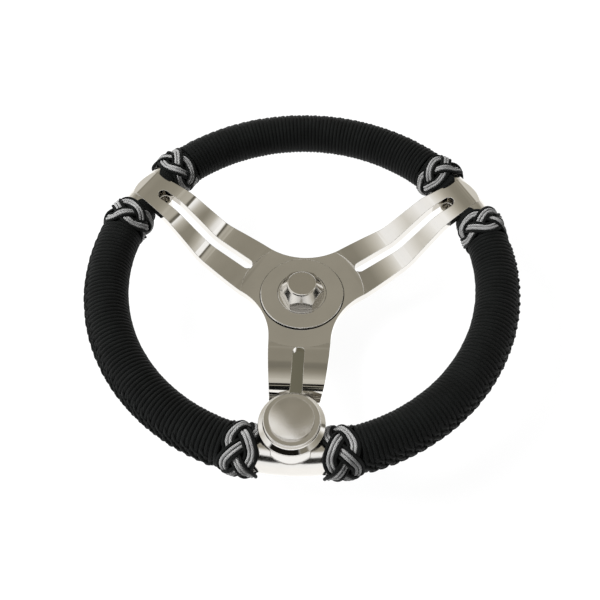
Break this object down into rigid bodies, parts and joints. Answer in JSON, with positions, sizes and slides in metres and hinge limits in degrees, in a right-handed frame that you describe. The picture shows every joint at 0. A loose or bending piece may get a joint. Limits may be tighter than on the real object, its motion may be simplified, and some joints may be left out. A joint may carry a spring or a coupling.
{
  "type": "boat steering wheel",
  "caption": "Boat steering wheel: a bent plate spoke frame on a tubular rim wrapped in black cord, woven cord knots beside the spokes, and a spinner knob on one spoke.",
  "frame": {"origin": "centre of the hub's back face, on the wheel axis", "axes": "+Z along the wheel axis towards the helmsman; the spoke with the spinner knob points to -Y"},
  "size_m": [0.3728, 0.3716, 0.1116],
  "materials": {
    "polished_steel": "polished",
    "satin_steel": "satin",
    "black_cord": "satin",
    "grey_cord": "satin",
    "bush_plastic": "matte"
  },
  "bodies": {
    "wheel": {"spoke_frame": "polished_steel", "rim_tube": "polished_steel", "hub": "polished_steel", "hub_washer": "polished_steel", "hub_nut": "polished_steel", "rim_wrap_right": "black_cord", "rim_wrap_far": "black_cord", "rim_wrap_left": "black_cord", "knot_bottom_left_black_cord": "black_cord", "knot_bottom_left_grey_cord": "grey_cord", "knot_bottom_right_black_cord": "black_cord", "knot_bottom_right_grey_cord": "grey_cord", "knot_right_near_black_cord": "black_cord", "knot_right_near_grey_cord": "grey_cord", "knot_right_far_black_cord": "black_cord", "knot_right_far_grey_cord": "grey_cord", "knot_left_far_black_cord": "black_cord", "knot_left_far_grey_cord": "grey_cord", "knot_left_near_black_cord": "black_cord", "knot_left_near_grey_cord": "grey_cord", "knob_collar": "satin_steel", "knob_stud": "satin_steel", "knob_thrust_washer": "bush_plastic", "knob_top_washer": "satin_steel", "knob_screw": "satin_steel"},
    "knob": {"knob_shell": "polished_steel", "knob_lower_bush": "bush_plastic", "knob_upper_bush": "bush_plastic", "knob_cap": "satin_steel"}
  },
  "joints": [
    {"name": "knob_spin", "type": "hinge", "parent": "wheel", "child": "knob", "pos_m": [0, -0.1495, 0.1], "axis": [0, 0, 1], "continuous": true}
  ]
}
